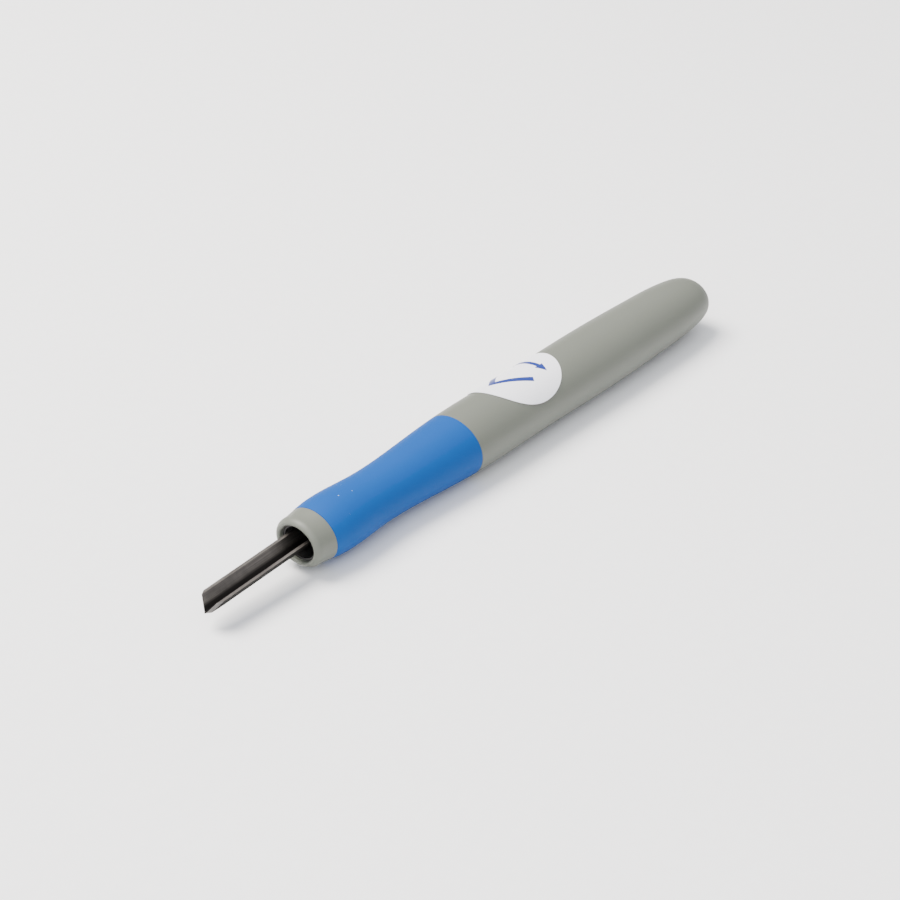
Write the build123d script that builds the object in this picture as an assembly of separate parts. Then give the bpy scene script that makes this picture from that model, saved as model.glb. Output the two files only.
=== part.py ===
"""V-gouge for block and lino carving: a V-section blade in an oval two-material handle.

Millimetres. +X runs along the handle from the blade to the butt, +Y is to the left of a hand that
pushes the blade away, and +Z is up, on the open side of the V. The parts are laid out from the mouth of
the handle, and the finished tool is then moved so that the origin is under the middle of its length, on
the surface that its belly lies on.
"""

from build123d import *

import os
from math import atan2, cos, hypot, pi, radians, sin, tan

# Blade: a V strip, opened upwards. Its own axis droops from the handle's, pivoted at the mouth.
BLADE_REACH = 22.4
BLADE_DROOP = 3.0
BLADE_WIDTH = 4.95
BLADE_WALL = 0.5
V_ANGLE = 73.5
KEEL_Z = -2.13
KEEL_RADIUS = 0.3
ROOT_RADIUS = 0.35
APEX_LEAD = 1.4
BEVEL_ANGLE = 33.0
KEEL_RELIEF = 5.5

# Socket for the blade's plug, the mouth pocket in front of it, and the tapered core behind it.
INSERT_WALL = 0.925
SOCKET_R = BLADE_WIDTH / 2 + INSERT_WALL
SOCKET_LENGTH = 25.0
KEYWAY_WIDTH = 1.6
KEYWAY_DEPTH = 0.4
OVALITY = 0.85
MOUTH_LEDGE = 0.05
MOUTH_R = SOCKET_R / OVALITY + MOUTH_LEDGE
MOUTH_EDGE_RADIUS = 0.45
MOUTH_DEPTH = 5.0
CORE_START_R = 3.0
CORE_END_R = 2.7
CORE_END_BACK = 15.4

# Tang: how far it stops short of the socket's bottom, and where its walls start to taper.
TANG_END_COVER = 3.5
TANG_LENGTH = MOUTH_DEPTH + SOCKET_LENGTH - TANG_END_COVER
TANG_TAPER_X = 10.0
TANG_END_HEIGHT = 1.7

# Handle skin: half-width against distance behind the mouth, or in front of the butt for the names
# that end in BACK. Heights are OVALITY times the widths.
LIP_LAND = 0.25
LIP_FACE_R = MOUTH_R + MOUTH_EDGE_RADIUS + LIP_LAND
LIP_LENGTH = 1.3
LIP_R = LIP_FACE_R + 0.75
NOSE_X = 5.4
NOSE_R = LIP_R + 0.52
WAIST_X = 18.0
WAIST_R = NOSE_R - 0.14
FLARE_X = 31.5
FLARE_R = 6.36
SHOULDER_X = 43.0
SHOULDER_R = 7.13
LABEL_X = 63.5
MIDDLE_R = 7.25
HANDLE_LENGTH = 123.4
BELLY_BACK = 35.4
BELLY_R = 7.45
TAIL_BACK = 17.4
TAIL_R = 7.06
BUTT_BACK = 5.9
BUTT_R = 6.25
BUTT_CORNER_BACK = 0.75
BUTT_CORNER_R = 4.1

# Soft grip band, moulded flush over a tapered round core with rings that anchor it.
GRIP_START = 4.45
GRIP_END = SHOULDER_X
GRIP_CORE_WALL = 0.6
GRIP_CORE_FRONT_R = SOCKET_R + KEYWAY_DEPTH + GRIP_CORE_WALL
GRIP_CORE_REAR_R = 5.0
GRIP_SEAM = 0.03
ANCHOR_COUNT = 3
ANCHOR_WIDTH = 1.6
ANCHOR_DEPTH = 0.35

# Blade insert: a hard plug moulded on the tang and pressed into the socket on crush ribs. Its front
# is an oval cup that lines the mouth pocket.
CUP_GAP = 0.03
CUP_WALL = 0.45
CUP_SETBACK = 0.9
CUP_FLOOR = 0.6
SHANK_GAP = 0.15
RIB_GAP = 0.01
RIB_COUNT = 4
RIB_WIDTH = 1.2
KEY_SIDE_GAP = 0.05
KEY_TOP_GAP = 0.05
INSERT_END_GAP = 0.5
INSERT_LEAD_IN = 0.8

# Round paper label wrapped on the skin, and the pictogram printed through it.
LABEL_RADIUS = 10.0
LABEL_TURN = 69.0
LABEL_GLUE = 0.06
LABEL_THICKNESS = 0.1
INK_STROKE = 1.2
PICTOGRAM_WIDTH = 10.0
PICTOGRAM_X = -2.6
ARROW_X = 5.0
ARROW_STROKE = 1.0
ARROW_HEAD = 2.2

CUT_SIZE = 200.0


def flatten(shape):
    """Turn a round piece into the handle's oval."""
    return scale(shape, by=(1, 1, OVALITY))


def revolved(edges):
    """Solid of revolution about the handle's axis from the edges of a closed half-section."""
    section = make_face(Wire(edges))
    return revolve(section, Axis.X)


def skin(grow=0.0):
    """Solid of the handle's outer shape, still round, with its half-widths changed by grow."""
    pole = (HANDLE_LENGTH + grow, 0)
    lip = TangentArc((0, LIP_FACE_R + grow), (LIP_LENGTH, LIP_R + grow), tangent=(0.55, 1))
    stations = (
        (NOSE_X, NOSE_R),
        (WAIST_X, WAIST_R),
        (FLARE_X, FLARE_R),
        (SHOULDER_X, SHOULDER_R),
        (LABEL_X, MIDDLE_R),
        (HANDLE_LENGTH - BELLY_BACK, BELLY_R),
        (HANDLE_LENGTH - TAIL_BACK, TAIL_R),
        (HANDLE_LENGTH - BUTT_BACK, BUTT_R),
        (HANDLE_LENGTH - BUTT_CORNER_BACK, BUTT_CORNER_R),
    )
    points = [lip @ 1] + [(x, r + grow) for x, r in stations] + [pole]
    side = Spline(*points, tangents=(lip % 1, (0, -1)))
    return revolved([lip, side, Line(pole, (0, 0)), Line((0, 0), (0, LIP_FACE_R + grow))])


def tube_slice(radius, start, end):
    """Round cylinder on the handle's axis from start to end."""
    plane = Plane(origin=(start, 0, 0), z_dir=(1, 0, 0))
    return extrude(plane * Circle(radius), end - start)


def mouth_pocket():
    """Rounded mouth and the pocket in front of the insert, still round."""
    edge = MOUTH_EDGE_RADIUS
    rounded = RadiusArc((0, MOUTH_R + edge), (edge, MOUTH_R), edge)
    sides = Polyline((edge, MOUTH_R), (MOUTH_DEPTH, MOUTH_R), (MOUTH_DEPTH, 0), (0, 0), (0, MOUTH_R + edge))
    return revolved([rounded, *sides.edges()])


def socket_end():
    """Distance of the socket's bottom behind the mouth."""
    return MOUTH_DEPTH + SOCKET_LENGTH


def key_bar(width, depth):
    """Bar under the socket that keeps the insert from turning, at the given width and depth."""
    bar = Box(SOCKET_LENGTH, width, SOCKET_R + depth, align=(Align.MIN, Align.CENTER, Align.MAX))
    return Pos(MOUTH_DEPTH, 0, 0) * bar


def socket_and_core():
    """What the core pin leaves behind the pocket: keyed socket and a tapered core with a round end."""
    core_end = HANDLE_LENGTH - CORE_END_BACK
    dome_start = core_end - CORE_END_R
    sides = Polyline(
        (MOUTH_DEPTH, 0),
        (MOUTH_DEPTH, SOCKET_R),
        (socket_end(), SOCKET_R),
        (socket_end(), CORE_START_R),
        (dome_start, CORE_END_R),
    )
    dome = RadiusArc((dome_start, CORE_END_R), (core_end, 0), CORE_END_R)
    axis = Line((core_end, 0), (MOUTH_DEPTH, 0))
    return revolved([*sides.edges(), dome, axis]) + key_bar(KEYWAY_WIDTH, KEYWAY_DEPTH)


def grip_core_radius(x):
    """Radius of the round core under the grip at a distance behind the mouth."""
    share = (x - GRIP_START) / (GRIP_END - GRIP_START)
    return GRIP_CORE_FRONT_R + share * (GRIP_CORE_REAR_R - GRIP_CORE_FRONT_R)


def grip_space(seam=0.0):
    """All that lies outside the grip's core between its ends less a seam, anchor grooves included."""
    front = GRIP_START + seam
    rear = GRIP_END - seam
    outer = Polyline(
        (front, grip_core_radius(front)),
        (front, CUT_SIZE),
        (rear, CUT_SIZE),
        (rear, grip_core_radius(rear)),
        close=True,
    )
    space = revolved(outer.edges())
    pitch = (GRIP_END - GRIP_START) / (ANCHOR_COUNT + 1)
    for number in range(1, ANCHOR_COUNT + 1):
        start = GRIP_START + number * pitch - ANCHOR_WIDTH / 2
        end = start + ANCHOR_WIDTH
        outside = tube_slice(grip_core_radius(end) + ANCHOR_DEPTH, start, end)
        space += outside - tube_slice(grip_core_radius(start) - ANCHOR_DEPTH, start, end)
    return space


def handle_body():
    """Hard grey shell: one moulding from the lip to the butt."""
    return flatten(skin() - mouth_pocket()) - grip_space() - socket_and_core()


def grip_sleeve():
    """Soft blue band over the front of the handle."""
    return flatten(skin()) & grip_space(GRIP_SEAM)


def half_angle():
    """Angle of each wall from upright, in radians."""
    return radians(V_ANGLE / 2)


def root_z():
    """Height of the bottom of the channel, above its rounded root, at the blade's own axis."""
    sharp = KEEL_Z + BLADE_WALL / sin(half_angle())
    return sharp + ROOT_RADIUS * (1 / sin(half_angle()) - 1)


def wall_top_z():
    """Height of the walls' top edges at the blade's own axis."""
    return KEEL_Z + BLADE_WIDTH / 2 / tan(half_angle())


def v_section():
    """Cross-section of the strip, opened upwards, with a rounded keel and a rounded root."""
    half = half_angle()
    inner_half = BLADE_WIDTH / 2 - BLADE_WALL / cos(half)
    sharp_root = KEEL_Z + BLADE_WALL / sin(half)
    outline = Polyline(
        (0, KEEL_Z),
        (BLADE_WIDTH / 2, wall_top_z()),
        (inner_half, wall_top_z()),
        (0, sharp_root),
        (-inner_half, wall_top_z()),
        (-BLADE_WIDTH / 2, wall_top_z()),
        close=True,
    )
    section = make_face(outline)
    keel = section.vertices().sort_by(Axis.Y)[0]
    section = fillet(keel, KEEL_RADIUS)
    root = [corner for corner in section.vertices() if abs(corner.X) < BLADE_WALL / 10]
    return fillet(root, ROOT_RADIUS)


def bevel_plane(side):
    """Grinding plane of one wall: through its cutting edge, leaning out and back by BEVEL_ANGLE."""
    half = half_angle()
    apex = Vector(-BLADE_REACH, 0, KEEL_Z + BLADE_WALL / sin(half))
    rise = wall_top_z() - apex.Z
    edge = Vector(APEX_LEAD, side * rise * tan(half), rise).normalized()
    outward = Vector(0, side * cos(half), -sin(half))
    back = edge.cross(outward)
    if back.X < 0:
        back = -back
    lean = back * cos(radians(BEVEL_ANGLE)) + outward * sin(radians(BEVEL_ANGLE))
    normal = edge.cross(lean)
    if normal.X > 0:
        normal = -normal
    return Plane(origin=apex, x_dir=edge, z_dir=normal)


def keel_plane():
    """Grinding plane that relieves the keel from KEEL_RELIEF behind the apex up to the root."""
    apex = Vector(-BLADE_REACH, 0, root_z())
    start = Vector(-BLADE_REACH + KEEL_RELIEF, 0, KEEL_Z)
    along = (start - apex).normalized()
    normal = Vector(along.Z, 0, -along.X)
    return Plane(origin=apex, x_dir=along, z_dir=normal)


def tang_plane():
    """Shearing plane that tapers the walls of the tang inside the insert."""
    front = Vector(TANG_TAPER_X, 0, wall_top_z())
    rear = Vector(TANG_LENGTH, 0, KEEL_Z + TANG_END_HEIGHT)
    along = (rear - front).normalized()
    normal = Vector(-along.Z, 0, along.X)
    return Plane(origin=front, x_dir=along, z_dir=normal)


def v_blade():
    """Rolled V strip: bevelled, keel relieved, tang tapered, then drooped about the mouth."""
    start = Plane(origin=(-BLADE_REACH - APEX_LEAD, 0, 0), x_dir=(0, 1, 0), z_dir=(1, 0, 0))
    strip = extrude(start * v_section(), BLADE_REACH + APEX_LEAD + TANG_LENGTH)
    for ground in (bevel_plane(-1), bevel_plane(1), keel_plane(), tang_plane()):
        strip = split(strip, bisect_by=ground, keep=Keep.BOTTOM)
    return strip.rotate(Axis.Y, -BLADE_DROOP)


def pocket_cup():
    """Oval cup in front of the plug, which lines the mouth pocket and closes its bottom."""
    outside = tube_slice(MOUTH_R - CUP_GAP, CUP_SETBACK, MOUTH_DEPTH)
    hollow = tube_slice(MOUTH_R - CUP_GAP - CUP_WALL, CUP_SETBACK, MOUTH_DEPTH - CUP_FLOOR)
    return flatten(outside - hollow)


def blade_insert(blade):
    """Hard keyed plug moulded round the tang, with the cup that lines the mouth pocket."""
    end = socket_end() - INSERT_END_GAP
    shank = tube_slice(SOCKET_R - SHANK_GAP, MOUTH_DEPTH, end)
    plug = chamfer(shank.edges().group_by(Axis.X)[-1], INSERT_LEAD_IN)
    pitch = SOCKET_LENGTH / (RIB_COUNT + 1)
    for number in range(1, RIB_COUNT + 1):
        middle = MOUTH_DEPTH + number * pitch
        plug += tube_slice(SOCKET_R - RIB_GAP, middle - RIB_WIDTH / 2, middle + RIB_WIDTH / 2)
    key = key_bar(KEYWAY_WIDTH - 2 * KEY_SIDE_GAP, KEYWAY_DEPTH - KEY_TOP_GAP)
    plug += key & tube_slice(CUT_SIZE, MOUTH_DEPTH, end - INSERT_LEAD_IN)
    return plug + pocket_cup() - blade


def skin_point(turn):
    """Point of the handle's oval at LABEL_X, as across and up, for an angle in radians."""
    return MIDDLE_R * cos(turn), MIDDLE_R * OVALITY * sin(turn)


def turn_at(arc_length):
    """Turn in radians that is reached at arc_length round the skin from the label's centre."""
    steps = 200
    step = arc_length / steps
    turn = radians(LABEL_TURN)
    for _ in range(steps):
        turn += step / hypot(MIDDLE_R * sin(turn), MIDDLE_R * OVALITY * cos(turn))
    return turn


def facing(turn):
    """Angle from across in which the skin faces at a turn, both in radians."""
    return atan2(sin(turn) / OVALITY, cos(turn))


def label_plane():
    """Plane through the label's centre that faces midway between its two ends, x along the handle."""
    across, up = skin_point(radians(LABEL_TURN))
    middle = (facing(turn_at(-LABEL_RADIUS)) + facing(turn_at(LABEL_RADIUS))) / 2
    return Plane(origin=(LABEL_X, across, up), x_dir=(1, 0, 0), z_dir=(0, cos(middle), sin(middle)))


def unwrapped(arc_length):
    """Where a point at arc_length round the skin from the label's centre falls on label_plane."""
    across, up = skin_point(turn_at(arc_length))
    local = label_plane().to_local_coords(Vector(LABEL_X, across, up))
    return local.Y, local.Z


def label_tool():
    """Prism that cuts the wrapped disc from a shell on the skin."""
    count = 24
    rim = []
    for number in range(count):
        angle = 2 * pi * number / count
        rim.append((LABEL_RADIUS * cos(angle), unwrapped(LABEL_RADIUS * sin(angle))[0]))
    outline = make_face(Spline(*rim, periodic=True))
    depth = max(-unwrapped(LABEL_RADIUS)[1], -unwrapped(-LABEL_RADIUS)[1]) + LABEL_THICKNESS
    return extrude(label_plane() * outline, 1) + extrude(label_plane() * outline, -depth)


def label_film():
    """The whole label, wrapped on the skin over its glue, without what the prism nicks behind it.

    It is cut while the skin is still round, because flattened faces cut badly, and then flattened.
    """
    shell = skin(LABEL_GLUE + LABEL_THICKNESS) - skin(LABEL_GLUE)
    round_tool = scale(label_tool(), by=(1, 1, 1 / OVALITY))
    pieces = flatten(shell & round_tool).solids()
    return pieces.sort_by(SortBy.VOLUME)[-1]


def pictogram():
    """Flat strokes on label_plane: the blade's V section and a double arrow for its width."""
    half = PICTOGRAM_WIDTH / 2
    depth = half / tan(half_angle())
    ends = [unwrapped(-half)[0], unwrapped(half)[0]]
    vee = Polyline(
        (PICTOGRAM_X + depth / 2, ends[0]),
        (PICTOGRAM_X - depth / 2, 0),
        (PICTOGRAM_X + depth / 2, ends[1]),
    )
    necks = [unwrapped(ARROW_HEAD - half)[0], unwrapped(half - ARROW_HEAD)[0]]
    shaft = Pos(ARROW_X, sum(necks) / 2) * Rectangle(ARROW_STROKE, necks[0] - necks[1])
    for end, neck in zip(ends, necks):
        sides = [(ARROW_X - ARROW_HEAD / 2, neck), (ARROW_X + ARROW_HEAD / 2, neck)]
        shaft += make_face(Polyline((ARROW_X, end), *sides, close=True))
    return [trace(vee, INK_STROKE), shaft]


def ink_prisms():
    """Prisms through the label where it is printed."""
    prisms = []
    for mark in pictogram():
        flat = label_plane() * mark
        prisms.append(extrude(flat, 1) + extrude(flat, -PICTOGRAM_WIDTH / 2))
    return prisms


def label():
    """White paper of the label, without the printed strokes."""
    paper = label_film()
    for prism in ink_prisms():
        paper -= prism
    return paper


def label_print():
    """Printed strokes, one solid each, through the paper's thickness."""
    film = label_film()
    marks = []
    for prism in ink_prisms():
        marks += (film & prism).solids()
    return Compound(marks)


def main():
    os.makedirs("parts", exist_ok=True)
    blade = v_blade()
    nodes = {
        "handle_body": handle_body(),
        "grip_sleeve": grip_sleeve(),
        "blade_insert": blade_insert(blade),
        "v_blade": blade,
        "label": label(),
        "label_print": label_print(),
    }
    middle = (HANDLE_LENGTH - BLADE_REACH) / 2
    lift = -nodes["handle_body"].bounding_box().min.Z
    for name, shape in nodes.items():
        export_step(Pos(-middle, 0, lift) * shape, f"parts/{name}.step")


main()
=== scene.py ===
"""V-gouge for block and lino carving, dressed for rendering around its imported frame.

The sections follow the tool as it is made: hard shell, soft grip, blade, plug, paper label, print.
The last sections set out the bench top, the lights and the camera. Sizes are in millimetres, measured
back from the mouth of the handle, and are turned into the frame's metres when a mesh is made.
"""

import math

import bmesh
import bpy
import numpy as np
from mathutils import Matrix, Vector


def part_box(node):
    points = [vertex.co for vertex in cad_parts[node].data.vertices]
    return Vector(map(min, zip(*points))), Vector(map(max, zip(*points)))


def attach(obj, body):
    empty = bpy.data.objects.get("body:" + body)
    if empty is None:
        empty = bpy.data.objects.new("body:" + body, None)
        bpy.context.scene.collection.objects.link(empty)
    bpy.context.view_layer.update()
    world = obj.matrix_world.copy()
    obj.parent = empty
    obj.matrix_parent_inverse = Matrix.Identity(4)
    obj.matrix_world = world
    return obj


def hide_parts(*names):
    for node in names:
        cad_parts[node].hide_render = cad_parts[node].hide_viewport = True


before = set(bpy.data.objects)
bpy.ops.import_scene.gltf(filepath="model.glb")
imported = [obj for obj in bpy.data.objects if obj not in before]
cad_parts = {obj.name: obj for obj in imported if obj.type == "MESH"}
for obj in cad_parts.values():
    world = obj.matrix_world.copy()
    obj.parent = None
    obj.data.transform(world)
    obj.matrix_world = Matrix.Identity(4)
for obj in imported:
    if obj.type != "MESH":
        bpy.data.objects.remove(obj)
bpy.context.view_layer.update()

# ---------------------------------------------------------------------------------------------------
# Handle shell. One moulding in warm grey ABS from the rounded mouth to the domed butt, cored out from
# the front, with a recess round its waist for the grip. The mould is spark-eroded to a fine satin.
# ---------------------------------------------------------------------------------------------------
MM = 0.001
OVALITY = 0.85
MOUTH_HALF_WIDTH = 4.05
MOUTH_ROUND = 0.45
POCKET_DEPTH = 5.0
SOCKET_HALF_WIDTH = 3.4
SOCKET_END = 30.0
CORE_START_HALF_WIDTH = 3.0
CORE_END_HALF_WIDTH = 2.7
CORE_END = 108.0
LIP_CENTRE = (1.269, 4.052)
LIP_ROUND = 1.448
LIP_SWEEP = (151.2, 88.8)
OUTLINE = (
    (1.3, 5.5),
    (5.4, 6.02),
    (18.0, 5.88),
    (31.5, 6.36),
    (43.0, 7.13),
    (63.5, 7.25),
    (88.0, 7.45),
    (106.0, 7.06),
    (117.5, 6.25),
    (122.65, 4.1),
    (123.4, 0.0),
)
OUTLINE_STEP = 0.45
GRIP_START, GRIP_END = 4.45, 43.0
RECESS_FRONT_HALF_WIDTH, RECESS_REAR_HALF_WIDTH = 4.4, 5.0
ANCHOR_GROOVES = (14.09, 23.725, 33.36)
ANCHOR_WIDTH, ANCHOR_DEPTH = 1.6, 0.35
SHUT_OFF_ROUND = 0.09
AROUND_HANDLE = 160

shell_low, shell_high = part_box("handle_body")
MOUTH = shell_low.x
AXIS_HEIGHT = (shell_low.z + shell_high.z) / 2


def linear(colour):
    """sRGB hex to the linear colour that a shader takes."""
    channels = [int(colour[i : i + 2], 16) / 255 for i in (1, 3, 5)]
    return [c / 12.92 if c <= 0.04045 else ((c + 0.055) / 1.055) ** 2.4 for c in channels] + [1.0]


def node(tree, kind, inputs=None, **settings):
    """Add a node with its settings; an input takes a value or the socket that feeds it."""
    made = tree.nodes.new(kind)
    for name, value in settings.items():
        setattr(made, name, value)
    for name, value in (inputs or {}).items():
        if isinstance(value, bpy.types.NodeSocket):
            tree.links.new(value, made.inputs[name])
        else:
            made.inputs[name].default_value = value
    return made


def arc(centre, radius, start, end, steps):
    """Points of an arc in the half-section, with its angles in degrees."""
    angles = [math.radians(start + (end - start) * i / steps) for i in range(steps + 1)]
    return [(centre[0] + radius * math.cos(a), centre[1] + radius * math.sin(a)) for a in angles]


def smooth_line(stations, start_way, end_way, step):
    """Points along the smooth curve through the stations, leaving and arriving in the given ways."""
    points = np.array(stations, float)
    gaps = np.linalg.norm(np.diff(points, axis=0), axis=1)
    count = len(points)
    matrix, sides = np.eye(count), np.zeros((count, 2))
    sides[0] = np.array(start_way) / np.linalg.norm(start_way)
    sides[-1] = np.array(end_way) / np.linalg.norm(end_way)
    for i in range(1, count - 1):
        before, after = gaps[i - 1], gaps[i]
        matrix[i, i - 1 : i + 2] = after, 2 * (before + after), before
        rise = after / before * (points[i] - points[i - 1]) + before / after * (points[i + 1] - points[i])
        sides[i] = 3 * rise
    ways = np.linalg.solve(matrix, sides)
    line = []
    for i in range(count - 1):
        steps = max(4, math.ceil(gaps[i] / step))
        for s in np.arange(steps) / steps:
            line.append(
                (2 * s**3 - 3 * s**2 + 1) * points[i]
                + (s**3 - 2 * s**2 + s) * gaps[i] * ways[i]
                + (3 * s**2 - 2 * s**3) * points[i + 1]
                + (s**3 - s**2) * gaps[i] * ways[i + 1]
            )
    return [tuple(p) for p in line] + [tuple(points[-1])]


lip_end = math.radians(LIP_SWEEP[1])
skin_line = smooth_line(OUTLINE, (math.sin(lip_end), -math.cos(lip_end)), (0, -1), OUTLINE_STEP)


def skin_half_width(x):
    """Half-width of the handle's skin at a distance behind the mouth."""
    return float(np.interp(x, [p[0] for p in skin_line], [p[1] for p in skin_line]))


def skin_between(start, end):
    """The skin's outline from start to end, with a point at each end."""
    inside = [p for p in skin_line if start + 0.05 < p[0] < end - 0.05]
    return [(start, skin_half_width(start)), *inside, (end, skin_half_width(end))]


def recess_line(start, end):
    """Floor of the grip's recess from start to end, with its anchor grooves."""
    rise = (RECESS_REAR_HALF_WIDTH - RECESS_FRONT_HALF_WIDTH) / (GRIP_END - GRIP_START)
    line = [(start, RECESS_FRONT_HALF_WIDTH + rise * (start - GRIP_START))]
    for middle in ANCHOR_GROOVES:
        for side in (-1, 1):
            x = middle + side * ANCHOR_WIDTH / 2
            radius = RECESS_FRONT_HALF_WIDTH + rise * (x - GRIP_START)
            pair = [(x, radius), (x, radius - ANCHOR_DEPTH)]
            line += pair if side < 0 else pair[::-1]
    return line + [(end, RECESS_FRONT_HALF_WIDTH + rise * (end - GRIP_START))]


def oval(line):
    """Half-section points as distance, half-width and half-height, flattened as the handle is."""
    return [(x, r, r * OVALITY) for x, r in line]


def round_bore(line):
    """Half-section points of a feature that stays round."""
    return [(x, r, r) for x, r in line]


def oval_turning_tree():
    """Node tree that carries each point of a section line round the handle's axis, on its own oval."""
    tree = bpy.data.node_groups.new("oval turning", "GeometryNodeTree")
    face = tree.interface
    face.new_socket("Section line", in_out="INPUT", socket_type="NodeSocketGeometry")
    for name, kind in (
        ("Steps around", "NodeSocketInt"),
        ("Axis height", "NodeSocketFloat"),
        ("Finish", "NodeSocketMaterial"),
    ):
        face.new_socket(name, in_out="INPUT", socket_type=kind)
    face.new_socket("Turned body", in_out="OUTPUT", socket_type="NodeSocketGeometry")
    given = node(tree, "NodeGroupInput")
    line = given.outputs["Section line"]
    around = given.outputs["Steps around"]
    columns = node(tree, "FunctionNodeIntegerMath", {0: around, 1: 1}, operation="ADD").outputs[0]
    rows = node(tree, "GeometryNodeAttributeDomainSize", {0: line}, component="MESH")
    net = node(
        tree,
        "GeometryNodeMeshGrid",
        {"Vertices X": rows.outputs["Point Count"], "Vertices Y": columns},
    )
    index = node(tree, "GeometryNodeInputIndex").outputs[0]
    row = node(tree, "FunctionNodeIntegerMath", {0: index, 1: columns}, operation="DIVIDE_FLOOR")
    column = node(tree, "FunctionNodeIntegerMath", {0: index, 1: columns}, operation="MODULO")
    place = node(tree, "GeometryNodeInputPosition").outputs[0]
    section = node(
        tree,
        "GeometryNodeSampleIndex",
        {"Geometry": line, "Value": place, "Index": row.outputs[0]},
        data_type="FLOAT_VECTOR",
    )
    parts = node(tree, "ShaderNodeSeparateXYZ", {0: section.outputs[0]})
    share = node(tree, "ShaderNodeMath", {0: column.outputs[0], 1: around}, operation="DIVIDE")
    turn = node(tree, "ShaderNodeMath", {0: share.outputs[0], 1: math.tau}, operation="MULTIPLY")
    across = node(tree, "ShaderNodeMath", {0: turn.outputs[0]}, operation="COSINE")
    up = node(tree, "ShaderNodeMath", {0: turn.outputs[0]}, operation="SINE")
    y = node(tree, "ShaderNodeMath", {0: across.outputs[0], 1: parts.outputs["Y"]}, operation="MULTIPLY")
    z = node(
        tree,
        "ShaderNodeMath",
        {0: up.outputs[0], 1: parts.outputs["Z"], 2: given.outputs["Axis height"]},
        operation="MULTIPLY_ADD",
    )
    point = node(
        tree, "ShaderNodeCombineXYZ", {"X": parts.outputs["X"], "Y": y.outputs[0], "Z": z.outputs[0]}
    )
    placed = node(
        tree, "GeometryNodeSetPosition", {"Geometry": net.outputs["Mesh"], "Position": point.outputs[0]}
    )
    closed = node(
        tree, "GeometryNodeMergeByDistance", {"Geometry": placed.outputs[0], "Distance": 0.001 * MM}
    )
    smooth = node(tree, "GeometryNodeSetShadeSmooth", {"Geometry": closed.outputs[0]})
    real = node(tree, "GeometryNodeRealizeInstances", {"Geometry": smooth.outputs[0]})
    finished = node(
        tree,
        "GeometryNodeSetMaterial",
        {"Geometry": real.outputs[0], "Material": given.outputs["Finish"]},
    )
    node(tree, "NodeGroupOutput", {0: finished.outputs[0]})
    return tree


def settled(piece):
    """Turn a piece and its modifiers into a plain mesh with outward faces, and drop the modifiers."""
    graph = bpy.context.evaluated_depsgraph_get()
    plain = bpy.data.meshes.new_from_object(piece.evaluated_get(graph), depsgraph=graph)
    piece.modifiers.clear()
    piece.data = plain
    shape = bmesh.new()
    shape.from_mesh(plain)
    if shape.calc_volume(signed=True) < 0:
        bmesh.ops.reverse_faces(shape, faces=shape.faces)
    shape.to_mesh(plain)
    shape.free()
    return piece


def turned(name, section, tree, finish):
    """A body turned from a section line of (distance behind the mouth, half-width, half-height)."""
    points = [(MOUTH + x * MM, y * MM, z * MM) for x, y, z in section]
    line = bpy.data.meshes.new(name)
    line.from_pydata(points, [(i, i + 1) for i in range(len(points) - 1)], [])
    piece = bpy.data.objects.new(name, line)
    bpy.context.scene.collection.objects.link(piece)
    turning = piece.modifiers.new("turning", "NODES")
    turning.node_group = tree
    sizes = {"Steps around": AROUND_HANDLE, "Axis height": AXIS_HEIGHT, "Finish": finish}
    for socket in tree.interface.items_tree:
        if socket.name in sizes:
            turning[socket.identifier] = sizes[socket.name]
    return settled(piece)


def finish(name):
    """New material, its node tree, its shader and its object coordinates in metres."""
    material = bpy.data.materials.new(name)
    material.use_nodes = True
    tree = material.node_tree
    place = node(tree, "ShaderNodeTexCoord").outputs["Object"]
    return material, tree, tree.nodes["Principled BSDF"], place


def per_metre(size):
    """Texture scale that gives features of a size in millimetres."""
    return 1000.0 / size


# Spark-eroded ABS: an even, slightly warm grey with a broad soft highlight, and a fine grain that takes
# the edge off it.
ABS_GREY, ABS_GREY_DEEP = "#656860", "#5f6259"
ABS_GRAIN, ABS_GRAIN_DEPTH = 0.28, 0.006
ABS_CLOUD = 26.0
ABS_ROUGHNESS = 0.40, 0.52
abs_grey, tree, shader, place = finish("spark-eroded grey ABS")
cloud = node(tree, "ShaderNodeTexNoise", {"Vector": place, "Scale": per_metre(ABS_CLOUD), "Detail": 3.0})
tint = node(
    tree,
    "ShaderNodeMix",
    {0: cloud.outputs["Fac"], 6: linear(ABS_GREY_DEEP), 7: linear(ABS_GREY)},
    data_type="RGBA",
)
grain = node(tree, "ShaderNodeTexNoise", {"Vector": place, "Scale": per_metre(ABS_GRAIN), "Detail": 4.0})
gloss = node(
    tree,
    "ShaderNodeMapRange",
    {"Value": grain.outputs["Fac"], "To Min": ABS_ROUGHNESS[0], "To Max": ABS_ROUGHNESS[1]},
)
relief = node(
    tree,
    "ShaderNodeBump",
    {"Height": grain.outputs["Fac"], "Distance": ABS_GRAIN_DEPTH * MM, "Strength": 1.0},
)
tree.links.new(tint.outputs[2], shader.inputs["Base Color"])
tree.links.new(gloss.outputs[0], shader.inputs["Roughness"])
tree.links.new(relief.outputs[0], shader.inputs["Normal"])
shader.inputs["IOR"].default_value = 1.53
shader.inputs["Specular IOR Level"].default_value = 0.3

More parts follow.
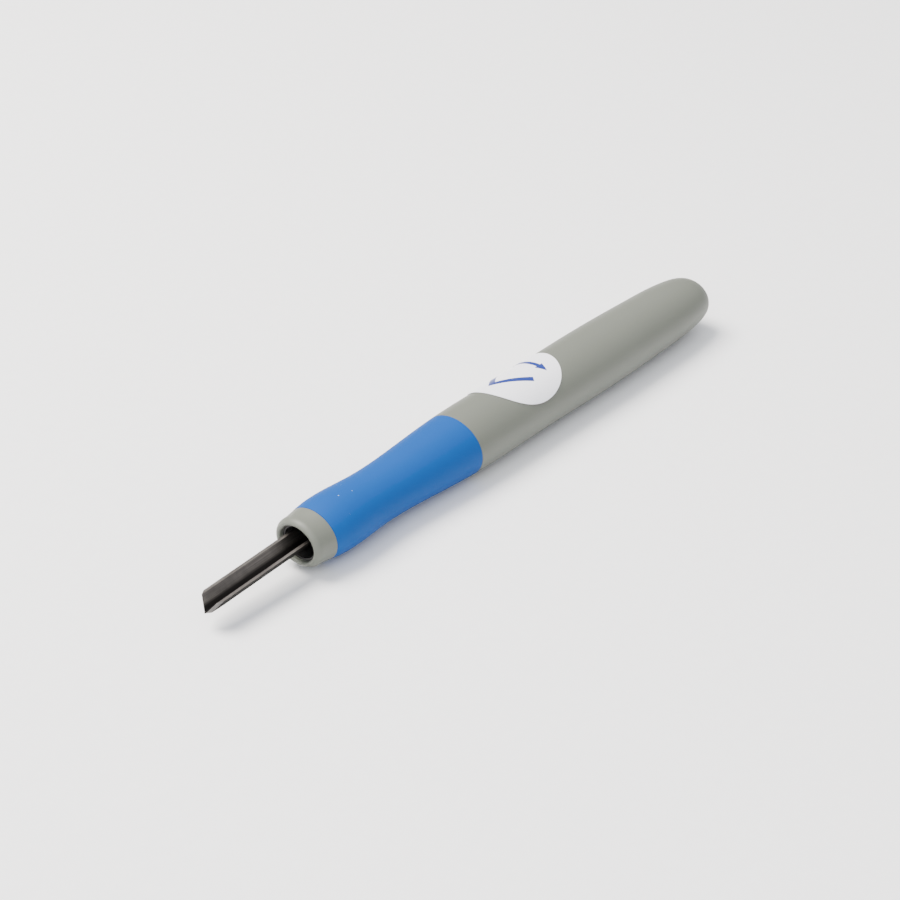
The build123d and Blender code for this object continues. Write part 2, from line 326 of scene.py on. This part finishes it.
turning_tree = oval_turning_tree()
dome_start = CORE_END - CORE_END_HALF_WIDTH
bore = arc((dome_start, 0), CORE_END_HALF_WIDTH, 0, 90, 12)
bore += [(SOCKET_END, CORE_START_HALF_WIDTH), (SOCKET_END, SOCKET_HALF_WIDTH)]
bore += [(POCKET_DEPTH, SOCKET_HALF_WIDTH)]
mouth = [(POCKET_DEPTH, MOUTH_HALF_WIDTH), (POCKET_DEPTH / 2, MOUTH_HALF_WIDTH)]
mouth += arc((MOUTH_ROUND, MOUTH_HALF_WIDTH + MOUTH_ROUND), MOUTH_ROUND, 270, 180, 8)
mouth += arc(LIP_CENTRE, LIP_ROUND, *LIP_SWEEP, 12)[:-1]
nose = skin_between(OUTLINE[0][0], GRIP_START - SHUT_OFF_ROUND)
nose += arc((GRIP_START - SHUT_OFF_ROUND, nose[-1][1] - SHUT_OFF_ROUND), SHUT_OFF_ROUND, 90, 0, 4)[1:]
rear = skin_between(GRIP_END + SHUT_OFF_ROUND, OUTLINE[-1][0])[:-1]
rear = arc((rear[0][0], rear[0][1] - SHUT_OFF_ROUND), SHUT_OFF_ROUND, 180, 90, 4)[:-1] + rear
shell_section = round_bore(bore) + oval(mouth + nose)
shell_section += round_bore(recess_line(GRIP_START, GRIP_END)) + oval(rear) + [(OUTLINE[-1][0], 0, 0)]
handle_shell = turned("handle_shell", shell_section, turning_tree, abs_grey)
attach(handle_shell, "root")
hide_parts("handle_body")

# ---------------------------------------------------------------------------------------------------
# Grip. A band of soft blue thermoplastic rubber moulded over the shell's recess in a second shot. It
# is flush with the hard plastic at both ends and keys into three rings underneath.
# ---------------------------------------------------------------------------------------------------
GRIP_SEAM = 0.03

# Thermoplastic rubber from a blasted mould: a clear mid blue that stays matt, with a fine pebble and a
# few pale specks gathered in patches.
TPE_BLUE, TPE_BLUE_DEEP, TPE_PALE_SPECK = "#08498f", "#074385", "#b9cfe6"
TPE_GRAIN, TPE_GRAIN_DEPTH = 0.32, 0.012
TPE_CLOUD = 18.0
SPECK_SPACING, SPECK_SIZE, SPECK_PATCH = 1.3, 0.1, 7.0
tpe_blue, tree, shader, place = finish("blasted blue thermoplastic rubber")
cloud = node(tree, "ShaderNodeTexNoise", {"Vector": place, "Scale": per_metre(TPE_CLOUD), "Detail": 3.0})
tint = node(
    tree,
    "ShaderNodeMix",
    {0: cloud.outputs["Fac"], 6: linear(TPE_BLUE_DEEP), 7: linear(TPE_BLUE)},
    data_type="RGBA",
)
speck = node(
    tree,
    "ShaderNodeTexVoronoi",
    {"Vector": place, "Scale": per_metre(SPECK_SPACING), "Randomness": 1.0},
)
patch = node(tree, "ShaderNodeTexNoise", {"Vector": place, "Scale": per_metre(SPECK_PATCH), "Detail": 1.0})
reach = node(
    tree,
    "ShaderNodeMapRange",
    {"Value": patch.outputs["Fac"], "From Min": 0.58, "From Max": 0.75, "To Max": SPECK_SIZE},
)
# A few pale specks in the base colour, gathered where the patch noise is high.
pale_specks = node(
    tree, "ShaderNodeMath", {0: speck.outputs["Distance"], 1: reach.outputs[0]}, operation="LESS_THAN"
)
specked = node(
    tree,
    "ShaderNodeMix",
    {0: pale_specks.outputs[0], 6: tint.outputs[2], 7: linear(TPE_PALE_SPECK)},
    data_type="RGBA",
)
grain = node(tree, "ShaderNodeTexNoise", {"Vector": place, "Scale": per_metre(TPE_GRAIN), "Detail": 5.0})
gloss = node(tree, "ShaderNodeMapRange", {"Value": grain.outputs["Fac"], "To Min": 0.55, "To Max": 0.72})
relief = node(
    tree,
    "ShaderNodeBump",
    {"Height": grain.outputs["Fac"], "Distance": TPE_GRAIN_DEPTH * MM, "Strength": 1.0},
)
tree.links.new(specked.outputs[2], shader.inputs["Base Color"])
tree.links.new(gloss.outputs[0], shader.inputs["Roughness"])
tree.links.new(relief.outputs[0], shader.inputs["Normal"])
shader.inputs["IOR"].default_value = 1.5
shader.inputs["Specular IOR Level"].default_value = 0.14

front, back = GRIP_START + GRIP_SEAM, GRIP_END - GRIP_SEAM
band = skin_between(front + SHUT_OFF_ROUND, back - SHUT_OFF_ROUND)
front_round = arc((band[0][0], band[0][1] - SHUT_OFF_ROUND), SHUT_OFF_ROUND, 180, 90, 4)
back_round = arc((band[-1][0], band[-1][1] - SHUT_OFF_ROUND), SHUT_OFF_ROUND, 90, 0, 4)
grip_section = oval(front_round[:-1] + band + back_round[1:]) + round_bore(recess_line(front, back)[::-1])
grip_band = turned("grip_band", grip_section + grip_section[:1], turning_tree, tpe_blue)
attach(grip_band, "root")
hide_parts("grip_sleeve")

# ---------------------------------------------------------------------------------------------------
# Blade. A strip of tool steel rolled to a V, its two bevels and its keel ground at the working end,
# its walls sheared along the top and tapered where the plug holds the tang. It droops a little.
# ---------------------------------------------------------------------------------------------------
BLADE_REACH, TANG_LENGTH = 22.4, 26.5
BLADE_DROOP = 3.0
BLADE_WIDTH, BLADE_WALL = 4.95, 0.5
HALF_ANGLE = math.radians(73.5 / 2)
KEEL_Z = -2.13
KEEL_ROUND, ROOT_ROUND = 0.3, 0.35
APEX_LEAD, BEVEL_ANGLE = 1.4, math.radians(33.0)
KEEL_RELIEF = 5.5
TAPER_START, TANG_END_HEIGHT = 10.0, 1.7
EDGE_ROUND = 0.035

# Rolled strip: a slightly brown oxide grey with a fine straight grain along it, so the light runs down
# each wall in soft streaks. Painted shade darkens the bottom of the channel up to a set height above the
# axis.
STEEL_DARK, STEEL_LIGHT = "#5a5653", "#7a7570"
# Colour, top height and soft edge of the painted shade in the bottom of the channel.
STEEL_PAINTED_SHADE, PAINTED_SHADE_TOP, PAINTED_SHADE_SOFT = "#2e2c2b", 0.1, 0.5
ROLL_GRAIN_ACROSS, ROLL_GRAIN_ALONG, ROLL_GRAIN_DEPTH = 0.12, 9.0, 0.002
ROLL_CLOUD = 3.0
axis_rise = AXIS_HEIGHT * math.cos(math.radians(BLADE_DROOP)) - MOUTH * math.sin(math.radians(BLADE_DROOP))
rolled_steel, tree, shader, place = finish("rolled tool steel")
lay = node(
    tree,
    "ShaderNodeMapping",
    {"Vector": place, "Rotation": (0.0, math.radians(BLADE_DROOP), 0.0)},
)
stretch = node(
    tree,
    "ShaderNodeVectorMath",
    {0: lay.outputs[0], 1: (ROLL_GRAIN_ACROSS / ROLL_GRAIN_ALONG, 1.0, 1.0)},
    operation="MULTIPLY",
)
grain = node(
    tree,
    "ShaderNodeTexNoise",
    {"Vector": stretch.outputs[0], "Scale": per_metre(ROLL_GRAIN_ACROSS), "Detail": 3.0},
)
cloud = node(tree, "ShaderNodeTexNoise", {"Vector": place, "Scale": per_metre(ROLL_CLOUD), "Detail": 3.0})
streak = node(
    tree, "ShaderNodeMath", {0: grain.outputs["Fac"], 1: cloud.outputs["Fac"]}, operation="MULTIPLY"
)
share = node(
    tree,
    "ShaderNodeMapRange",
    {"Value": streak.outputs[0], "From Min": 0.12, "From Max": 0.4},
)
tint = node(
    tree,
    "ShaderNodeMix",
    {0: share.outputs[0], 6: linear(STEEL_DARK), 7: linear(STEEL_LIGHT)},
    data_type="RGBA",
)
rise = node(tree, "ShaderNodeSeparateXYZ", {"Vector": lay.outputs[0]})
# Painted shade: the base colour turns dark below a set height in the bottom of the V channel.
painted_shade_share = node(
    tree,
    "ShaderNodeMapRange",
    {
        "Value": rise.outputs["Z"],
        "From Min": axis_rise + (PAINTED_SHADE_TOP - PAINTED_SHADE_SOFT) * MM,
        "From Max": axis_rise + PAINTED_SHADE_TOP * MM,
    },
)
tint = node(
    tree,
    "ShaderNodeMix",
    {0: painted_shade_share.outputs[0], 6: linear(STEEL_PAINTED_SHADE), 7: tint.outputs[2]},
    data_type="RGBA",
)
gloss = node(tree, "ShaderNodeMapRange", {"Value": grain.outputs["Fac"], "To Min": 0.3, "To Max": 0.46})
relief = node(
    tree,
    "ShaderNodeBump",
    {"Height": grain.outputs["Fac"], "Distance": ROLL_GRAIN_DEPTH * MM, "Strength": 1.0},
)
tree.links.new(tint.outputs[2], shader.inputs["Base Color"])
tree.links.new(gloss.outputs[0], shader.inputs["Roughness"])
tree.links.new(relief.outputs[0], shader.inputs["Normal"])
shader.inputs["Metallic"].default_value = 1.0

# Mill scale: the near-black oxide left on the outside of the strip. It is dull and hardly metallic, so
# the outer walls stay dark over a bright bench.
SCALE_BLACK, SCALE_WORN = "#121110", "#242220"
SCALE_CRUST, SCALE_CRUST_DEPTH = 0.4, 0.004
mill_scale, tree, shader, place = finish("black mill scale on tool steel")
crust = node(tree, "ShaderNodeTexNoise", {"Vector": place, "Scale": per_metre(SCALE_CRUST), "Detail": 5.0})
tint = node(
    tree,
    "ShaderNodeMix",
    {0: crust.outputs["Fac"], 6: linear(SCALE_BLACK), 7: linear(SCALE_WORN)},
    data_type="RGBA",
)
gloss = node(tree, "ShaderNodeMapRange", {"Value": crust.outputs["Fac"], "To Min": 0.7, "To Max": 0.85})
relief = node(
    tree,
    "ShaderNodeBump",
    {"Height": crust.outputs["Fac"], "Distance": SCALE_CRUST_DEPTH * MM, "Strength": 1.0},
)
tree.links.new(tint.outputs[2], shader.inputs["Base Color"])
tree.links.new(gloss.outputs[0], shader.inputs["Roughness"])
tree.links.new(relief.outputs[0], shader.inputs["Normal"])
shader.inputs["IOR"].default_value = 1.5
shader.inputs["Specular IOR Level"].default_value = 0.04

# Wheel-ground steel: brighter and cleaner than the strip, with scratches square to the cutting edge.
# The grit's own lines are too fine to show, so they are drawn 0.1 mm apart.
GROUND_DARK, GROUND_LIGHT = "#5b5957", "#7c7976"
WHEEL_LINE, WHEEL_LINE_LENGTH, WHEEL_LINE_DEPTH = 0.1, 4.0, 0.003
ground_steel, tree, shader, place = finish("wheel-ground tool steel")
stretch = node(
    tree,
    "ShaderNodeVectorMath",
    {0: place, 1: (1.0, WHEEL_LINE / WHEEL_LINE_LENGTH, WHEEL_LINE / WHEEL_LINE_LENGTH)},
    operation="MULTIPLY",
)
lines = node(
    tree,
    "ShaderNodeTexNoise",
    {"Vector": stretch.outputs[0], "Scale": per_metre(WHEEL_LINE), "Detail": 2.0},
)
tint = node(
    tree,
    "ShaderNodeMix",
    {0: lines.outputs["Fac"], 6: linear(GROUND_DARK), 7: linear(GROUND_LIGHT)},
    data_type="RGBA",
)
gloss = node(tree, "ShaderNodeMapRange", {"Value": lines.outputs["Fac"], "To Min": 0.22, "To Max": 0.36})
relief = node(
    tree,
    "ShaderNodeBump",
    {"Height": lines.outputs["Fac"], "Distance": WHEEL_LINE_DEPTH * MM, "Strength": 1.0},
)
tree.links.new(tint.outputs[2], shader.inputs["Base Color"])
tree.links.new(gloss.outputs[0], shader.inputs["Roughness"])
tree.links.new(relief.outputs[0], shader.inputs["Normal"])
shader.inputs["Metallic"].default_value = 1.0

wall_top = KEEL_Z + BLADE_WIDTH / 2 / math.tan(HALF_ANGLE)
sharp_root = KEEL_Z + BLADE_WALL / math.sin(HALF_ANGLE)
inner_half = BLADE_WIDTH / 2 - BLADE_WALL / math.cos(HALF_ANGLE)


def vee_bottom(tip, radius, steps):
    """Half-section points of the rounded bottom of a V, from its -Y side to its +Y side."""
    centre = tip + radius / math.sin(HALF_ANGLE)
    lean = math.pi / 2 - HALF_ANGLE
    angles = [-math.pi / 2 + lean * (2 * i / steps - 1) for i in range(steps + 1)]
    return [(radius * math.cos(a), centre + radius * math.sin(a)) for a in angles]


def walls(top_half, bottom, rows):
    """The V's line from one top edge round its bottom to the other."""
    side = bottom[0][0]
    left = [
        (-top_half + (top_half + side) * i / rows, wall_top + (bottom[0][1] - wall_top) * i / rows)
        for i in range(rows)
    ]
    return left + bottom + [(-y, z) for y, z in left[::-1]]


outer = walls(BLADE_WIDTH / 2, vee_bottom(KEEL_Z, KEEL_ROUND, 10), 4)
inner = walls(inner_half, vee_bottom(sharp_root, ROOT_ROUND, 10), 4)
strip_section = outer + inner[::-1]
stations = np.linspace(-BLADE_REACH - APEX_LEAD, TANG_LENGTH, 60)
strip = bmesh.new()
rings = [[strip.verts.new((x, y, z)) for y, z in strip_section] for x in stations]
for near, far in zip(rings, rings[1:]):
    for i in range(len(strip_section)):
        j = (i + 1) % len(strip_section)
        strip.faces.new((near[i], near[j], far[j], far[i]))
for end_ring in (rings[0], rings[-1]):
    strip.edges.ensure_lookup_table()
    count = len(outer)
    for i in range(count - 1):
        strip.faces.new((end_ring[i], end_ring[i + 1], end_ring[-i - 2], end_ring[-i - 1]))
bmesh.ops.recalc_face_normals(strip, faces=strip.faces)


def grind(shape, origin, outward):
    """Cut off what lies outside a grinding plane and close the cut. Gives back the new face's way."""
    outward = outward.normalized()
    everything = shape.verts[:] + shape.edges[:] + shape.faces[:]
    cut = bmesh.ops.bisect_plane(
        shape, geom=everything, plane_co=origin, plane_no=outward, clear_outer=True, dist=1e-6
    )
    edges = [g for g in cut["geom_cut"] if isinstance(g, bmesh.types.BMEdge)]
    bmesh.ops.triangle_fill(shape, edges=edges, use_beauty=True, normal=outward)
    return outward


apex = Vector((-BLADE_REACH, 0.0, sharp_root))
root_floor = Vector((-BLADE_REACH, 0.0, sharp_root + ROOT_ROUND * (1 / math.sin(HALF_ANGLE) - 1)))
bevel_ways = []
for side in (-1, 1):
    rise = wall_top - apex.z
    edge = Vector((APEX_LEAD, side * rise * math.tan(HALF_ANGLE), rise)).normalized()
    outward = Vector((0.0, side * math.cos(HALF_ANGLE), -math.sin(HALF_ANGLE)))
    behind = edge.cross(outward)
    behind = behind if behind.x > 0 else -behind
    lean = behind * math.cos(BEVEL_ANGLE) + outward * math.sin(BEVEL_ANGLE)
    way = edge.cross(lean)
    bevel_ways.append(grind(strip, apex, way if way.x < 0 else -way))
keel_start = Vector((-BLADE_REACH + KEEL_RELIEF, 0.0, KEEL_Z))
keel_way = keel_start - root_floor
bevel_ways.append(grind(strip, root_floor, Vector((keel_way.z, 0.0, -keel_way.x))))
taper = Vector((TANG_LENGTH, 0.0, KEEL_Z + TANG_END_HEIGHT)) - Vector((TAPER_START, 0.0, wall_top))
grind(strip, Vector((TAPER_START, 0.0, wall_top)), Vector((-taper.z, 0.0, taper.x)))
bmesh.ops.remove_doubles(strip, verts=strip.verts, dist=1e-4)
bmesh.ops.recalc_face_normals(strip, faces=strip.faces)
for patch in strip.faces:
    patch.smooth = True
    scaled = patch.normal.z < 0 and abs(patch.normal.x) < 0.5
    ground = any(patch.normal.dot(way) > 0.999 for way in bevel_ways)
    patch.material_index = 1 if ground else 2 if scaled else 0
droop = Matrix.Rotation(math.radians(-BLADE_DROOP), 4, "Y")
to_frame = Matrix.Translation((MOUTH, 0.0, AXIS_HEIGHT)) @ Matrix.Scale(MM, 4)
strip.transform(to_frame @ droop)
blade_mesh = bpy.data.meshes.new("gouge_blade")
strip.to_mesh(blade_mesh)
strip.free()
blade_mesh.materials.append(rolled_steel)
blade_mesh.materials.append(ground_steel)
blade_mesh.materials.append(mill_scale)
gouge_blade = bpy.data.objects.new("gouge_blade", blade_mesh)
bpy.context.scene.collection.objects.link(gouge_blade)
eased = gouge_blade.modifiers.new("eased edges", "BEVEL")
eased.width, eased.segments, eased.limit_method = EDGE_ROUND * MM, 2, "ANGLE"
eased.angle_limit = math.radians(20)
eased.harden_normals = True
settled(gouge_blade)
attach(gouge_blade, "root")
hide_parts("v_blade")

# ---------------------------------------------------------------------------------------------------
# Plug. Black glass-filled nylon moulded round the tang and pressed into the socket, where its cup
# lines the mouth and closes its bottom. It keeps the shape of its CAD solid.
# ---------------------------------------------------------------------------------------------------
# Glass-filled nylon: nearly black, dull, with the cloudy swirl of fibres that float to the surface.
NYLON_BLACK, NYLON_FIBRE = "#0d0c0c", "#1c1a19"
FIBRE_SWIRL, FIBRE_RELIEF = 1.6, 0.02
black_nylon, tree, shader, place = finish("glass-filled black nylon")
swirl = node(
    tree,
    "ShaderNodeTexNoise",
    {"Vector": place, "Scale": per_metre(FIBRE_SWIRL), "Detail": 6.0, "Distortion": 1.2},
)
tint = node(
    tree,
    "ShaderNodeMix",
    {0: swirl.outputs["Fac"], 6: linear(NYLON_BLACK), 7: linear(NYLON_FIBRE)},
    data_type="RGBA",
)
gloss = node(tree, "ShaderNodeMapRange", {"Value": swirl.outputs["Fac"], "To Min": 0.5, "To Max": 0.75})
relief = node(
    tree, "ShaderNodeBump", {"Height": swirl.outputs["Fac"], "Distance": FIBRE_RELIEF * MM, "Strength": 1.0}
)
tree.links.new(tint.outputs[2], shader.inputs["Base Color"])
tree.links.new(gloss.outputs[0], shader.inputs["Roughness"])
tree.links.new(relief.outputs[0], shader.inputs["Normal"])
shader.inputs["IOR"].default_value = 1.53
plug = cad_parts["blade_insert"]
plug.data.materials.clear()
plug.data.materials.append(black_nylon)

# ---------------------------------------------------------------------------------------------------
# Label. A round sticker of gloss-coated paper, die-cut and stuck by hand over the top of the handle,
# a little to the far side, behind the grip.
# ---------------------------------------------------------------------------------------------------
LABEL_X, LABEL_TURN = 63.5, math.radians(69.0)
LABEL_RADIUS = 10.0
LABEL_GLUE, LABEL_THICKNESS = 0.06, 0.1
LABEL_RINGS, LABEL_SEGMENTS = 24, 144

# Coated label stock: bright, faintly blue white with a soft sheen over a very slight fibre relief.
PAPER_WHITE, PAPER_SHADE = "#f4f4f8", "#ececf2"
PAPER_FIBRE, PAPER_FIBRE_DEPTH = 0.5, 0.004
coated_paper, tree, shader, place = finish("gloss-coated label paper")
fibre = node(tree, "ShaderNodeTexNoise", {"Vector": place, "Scale": per_metre(PAPER_FIBRE), "Detail": 5.0})
tint = node(
    tree,
    "ShaderNodeMix",
    {0: fibre.outputs["Fac"], 6: linear(PAPER_SHADE), 7: linear(PAPER_WHITE)},
    data_type="RGBA",
)
relief = node(
    tree,
    "ShaderNodeBump",
    {"Height": fibre.outputs["Fac"], "Distance": PAPER_FIBRE_DEPTH * MM, "Strength": 1.0},
)
gloss = node(tree, "ShaderNodeMapRange", {"Value": fibre.outputs["Fac"], "To Min": 0.34, "To Max": 0.46})
tree.links.new(tint.outputs[2], shader.inputs["Base Color"])
tree.links.new(gloss.outputs[0], shader.inputs["Roughness"])
tree.links.new(relief.outputs[0], shader.inputs["Normal"])
shader.inputs["IOR"].default_value = 1.5


def turn_table():
    """Arc lengths round the skin from the label's centre, and the turns that they reach."""
    half_width = skin_half_width(LABEL_X)
    turns = np.linspace(LABEL_TURN - 2.2, LABEL_TURN + 2.2, 4401)
    rates = half_width * np.hypot(np.sin(turns), OVALITY * np.cos(turns))
    arcs = np.concatenate(([0.0], np.cumsum((rates[1:] + rates[:-1]) / 2 * np.diff(turns))))
    return arcs - np.interp(LABEL_TURN, turns, arcs), turns


arc_lengths, arc_turns = turn_table()


def wrapped(along, across, rise):
    """Point of the frame for a place on the flat label, stuck on the skin and raised above it."""
    turn = float(np.interp(-across, arc_lengths, arc_turns))
    half_width = skin_half_width(LABEL_X + along)
    out = Vector((0.0, math.cos(turn) * OVALITY, math.sin(turn))).normalized()
    y = half_width * math.cos(turn) + out.y * rise
    z = half_width * OVALITY * math.sin(turn) + out.z * rise
    return MOUTH + (LABEL_X + along) * MM, y * MM, AXIS_HEIGHT + z * MM


def stuck_film(name, flat, rise, thickness, paint):
    """Wrap a flat bmesh round the handle at a rise, give it its thickness outwards and close it."""
    bmesh.ops.remove_doubles(flat, verts=flat.verts, dist=1e-4)
    for vert in flat.verts:
        vert.co = wrapped(vert.co.x, vert.co.y, rise)
    axis = Vector((0.0, 0.0, AXIS_HEIGHT))
    for patch in flat.faces:
        patch.normal_update()
        middle = patch.calc_center_median()
        if patch.normal.dot(Vector((0.0, middle.y, middle.z)) - axis) < 0:
            patch.normal_flip()
        patch.smooth = True
    mesh = bpy.data.meshes.new(name)
    flat.to_mesh(mesh)
    flat.free()
    mesh.materials.append(paint)
    piece = bpy.data.objects.new(name, mesh)
    bpy.context.scene.collection.objects.link(piece)
    thicken = piece.modifiers.new("thickness", "SOLIDIFY")
    thicken.thickness, thicken.offset = thickness * MM, 1.0
    piece.modifiers.new("crisp rim", "EDGE_SPLIT").split_angle = math.radians(60)
    return settled(piece)


disc = bmesh.new()
hub = disc.verts.new((0.0, 0.0, 0.0))
circles = []
for ring in range(1, LABEL_RINGS + 1):
    radius = LABEL_RADIUS * ring / LABEL_RINGS
    angles = [math.tau * k / LABEL_SEGMENTS for k in range(LABEL_SEGMENTS)]
    circles.append([disc.verts.new((radius * math.cos(a), radius * math.sin(a), 0.0)) for a in angles])
for k in range(LABEL_SEGMENTS):
    n = (k + 1) % LABEL_SEGMENTS
    disc.faces.new((hub, circles[0][k], circles[0][n]))
    for small, large in zip(circles, circles[1:]):
        disc.faces.new((small[k], large[k], large[n], small[n]))
paper_label = stuck_film("paper_label", disc, LABEL_GLUE, LABEL_THICKNESS, coated_paper)
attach(paper_label, "root")
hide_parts("label")

# ---------------------------------------------------------------------------------------------------
# Print. A plain pictogram in dark blue offset ink on the label: the V that the blade cuts, and a
# double arrow beside it for the width of the cut.
# ---------------------------------------------------------------------------------------------------
MARK_WIDTH = 10.0
VEE_X, VEE_STROKE = -2.6, 1.2
ARROW_X, ARROW_STROKE, ARROW_HEAD = 5.0, 1.0, 2.2
INK_THICKNESS = 0.02
INK_CUTS = 19

# Offset ink: a flat navy blue, slightly glossier than the paper, with a faint mottle in its coverage.
INK_BLUE, INK_BLUE_THIN = "#0b2372", "#142f80"
INK_MOTTLE = 0.35
blue_ink, tree, shader, place = finish("dark blue offset ink")
mottle = node(tree, "ShaderNodeTexNoise", {"Vector": place, "Scale": per_metre(INK_MOTTLE), "Detail": 3.0})
tint = node(
    tree,
    "ShaderNodeMix",
    {0: mottle.outputs["Fac"], 6: linear(INK_BLUE), 7: linear(INK_BLUE_THIN)},
    data_type="RGBA",
)
gloss = node(tree, "ShaderNodeMapRange", {"Value": mottle.outputs["Fac"], "To Min": 0.28, "To Max": 0.4})
tree.links.new(tint.outputs[2], shader.inputs["Base Color"])
tree.links.new(gloss.outputs[0], shader.inputs["Roughness"])
shader.inputs["IOR"].default_value = 1.5

mark_half = MARK_WIDTH / 2
vee_depth = mark_half / math.tan(HALF_ANGLE)
tip_back = VEE_STROKE / 2 / math.sin(HALF_ANGLE)
limb = Vector((vee_depth, mark_half)).normalized()
square = Vector((-limb.y, limb.x)) * VEE_STROKE / 2
marks = []
for side in (-1, 1):
    tip_x, end_x = VEE_X - vee_depth / 2, VEE_X + vee_depth / 2
    marks.append(
        (
            (tip_x - tip_back, 0.0),
            (tip_x + tip_back, 0.0),
            (end_x - square.x, side * (mark_half - square.y)),
            (end_x + square.x, side * (mark_half + square.y)),
        )
    )
    neck = side * (mark_half - ARROW_HEAD)
    marks.append(
        (
            (ARROW_X - ARROW_STROKE / 2, 0.0),
            (ARROW_X + ARROW_STROKE / 2, 0.0),
            (ARROW_X + ARROW_STROKE / 2, neck),
            (ARROW_X - ARROW_STROKE / 2, neck),
        )
    )
    marks.append(
        (
            (ARROW_X - ARROW_HEAD / 2, neck),
            (ARROW_X + ARROW_HEAD / 2, neck),
            (ARROW_X, side * mark_half),
        )
    )
strokes = bmesh.new()
for corners in marks:
    strokes.faces.new([strokes.verts.new((x, y, 0.0)) for x, y in corners])
bmesh.ops.subdivide_edges(strokes, edges=strokes.edges, cuts=INK_CUTS, use_grid_fill=True)
print_rise = LABEL_GLUE + LABEL_THICKNESS
label_mark = stuck_film("label_mark", strokes, print_rise, INK_THICKNESS, blue_ink)
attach(label_mark, "root")
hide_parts("label_print")

# ---------------------------------------------------------------------------------------------------
# Bench top. A plain white sheet. The tool lies on its shoulder and its belly, so its axis is not
# level, and the sheet rises by that slope towards the blade.
# ---------------------------------------------------------------------------------------------------
SHEET_HALF = 1.6
SHEET_WHITE, SHEET_SHADE, SHEET_PULP = "#f8f8f8", "#f3f3f4", 2.2
SHOULDER, BELLY = OUTLINE[4], OUTLINE[6]
white_sheet, tree, shader, place = finish("matt white paper")
pulp = node(tree, "ShaderNodeTexNoise", {"Vector": place, "Scale": per_metre(SHEET_PULP), "Detail": 5.0})
tint = node(
    tree,
    "ShaderNodeMix",
    {0: pulp.outputs["Fac"], 6: linear(SHEET_SHADE), 7: linear(SHEET_WHITE)},
    data_type="RGBA",
)
tree.links.new(tint.outputs[2], shader.inputs["Base Color"])
shader.inputs["Roughness"].default_value = 0.85
slope = (BELLY[1] - SHOULDER[1]) * OVALITY / (BELLY[0] - SHOULDER[0])
belly_x = MOUTH + BELLY[0] * MM
sheet_mesh = bpy.data.meshes.new("white_sheet")
corners = [(-1, -1), (1, -1), (1, 1), (-1, 1)]
sheet_mesh.from_pydata(
    [(x * SHEET_HALF, y * SHEET_HALF, slope * (belly_x - x * SHEET_HALF)) for x, y in corners],
    [],
    [(0, 1, 2, 3)],
)
sheet_mesh.materials.append(white_sheet)
sheet_top = bpy.data.objects.new("white_sheet", sheet_mesh)
bpy.context.scene.collection.objects.link(sheet_top)

# ---------------------------------------------------------------------------------------------------
# Lights. A softbox high on the left, a weaker one on the camera's side, and a studio whose pale
# ceiling lights the sheet while its walls stay dim, so the plastics show little sheen at their edges.
# ---------------------------------------------------------------------------------------------------
CEILING, WALLS = "#f4f6fb", "#5d5f63"
WALLS_END, CEILING_START = 0.05, 0.6
SURROUND_STRENGTH = 1.25
SOFTBOXES = (
    ("key softbox", (-0.2, 0.45, 0.92), 0.6, 31.0, "#fffaf4"),
    ("fill softbox", (-0.75, -0.35, 0.7), 0.8, 7.0, "#f5f8ff"),
)
world = bpy.data.worlds.new("pale studio")
bpy.context.scene.world = world
world.use_nodes = True
backdrop = world.node_tree.nodes["Background"]
tree = world.node_tree
around = tree.nodes.new("ShaderNodeTexCoord").outputs["Generated"]
height = node(tree, "ShaderNodeSeparateXYZ", {"Vector": around})
share = node(
    tree,
    "ShaderNodeMapRange",
    {"Value": height.outputs["Z"], "From Min": WALLS_END, "From Max": CEILING_START},
)
tint = node(
    tree,
    "ShaderNodeMix",
    {0: share.outputs[0], 6: linear(WALLS), 7: linear(CEILING)},
    data_type="RGBA",
)
tree.links.new(tint.outputs[2], backdrop.inputs["Color"])
backdrop.inputs["Strength"].default_value = SURROUND_STRENGTH
for name, spot, size, power, colour in SOFTBOXES:
    lamp = bpy.data.lights.new(name, "AREA")
    lamp.shape, lamp.size, lamp.energy = "SQUARE", size, power
    lamp.color = linear(colour)[:3]
    stand = bpy.data.objects.new(name, lamp)
    stand.location = spot
    stand.rotation_euler = (-Vector(spot)).to_track_quat("-Z", "Y").to_euler()
    bpy.context.scene.collection.objects.link(stand)

# ---------------------------------------------------------------------------------------------------
# Camera. An 80 mm lens about 0.38 m away, over the blade's left side, aimed at the back of the grip.
# ---------------------------------------------------------------------------------------------------
HEADING, DROP = math.radians(40.05), math.radians(32.0)
DISTANCE = 377.96
AIM_RIGHT, AIM_UP = -0.687, -0.863
look = Vector(
    (math.cos(DROP) * math.cos(HEADING), math.cos(DROP) * math.sin(HEADING), -math.sin(DROP))
)
camera_right = Vector((math.sin(HEADING), -math.cos(HEADING), 0.0))
camera_up = camera_right.cross(look)
aim = Vector((MOUTH / MM + GRIP_END - 0.04, 0.0, AXIS_HEIGHT / MM))
aim += AIM_RIGHT * camera_right + AIM_UP * camera_up
camera = bpy.data.objects.new("camera", bpy.data.cameras.new("camera"))
camera.data.lens, camera.data.sensor_width = 80.0, 36.0
camera.data.clip_start, camera.data.clip_end = 0.01, 20.0
camera.location = (aim - look * DISTANCE) * MM
camera.rotation_euler = look.to_track_quat("-Z", "Y").to_euler()
bpy.context.scene.collection.objects.link(camera)
bpy.context.scene.camera = camera
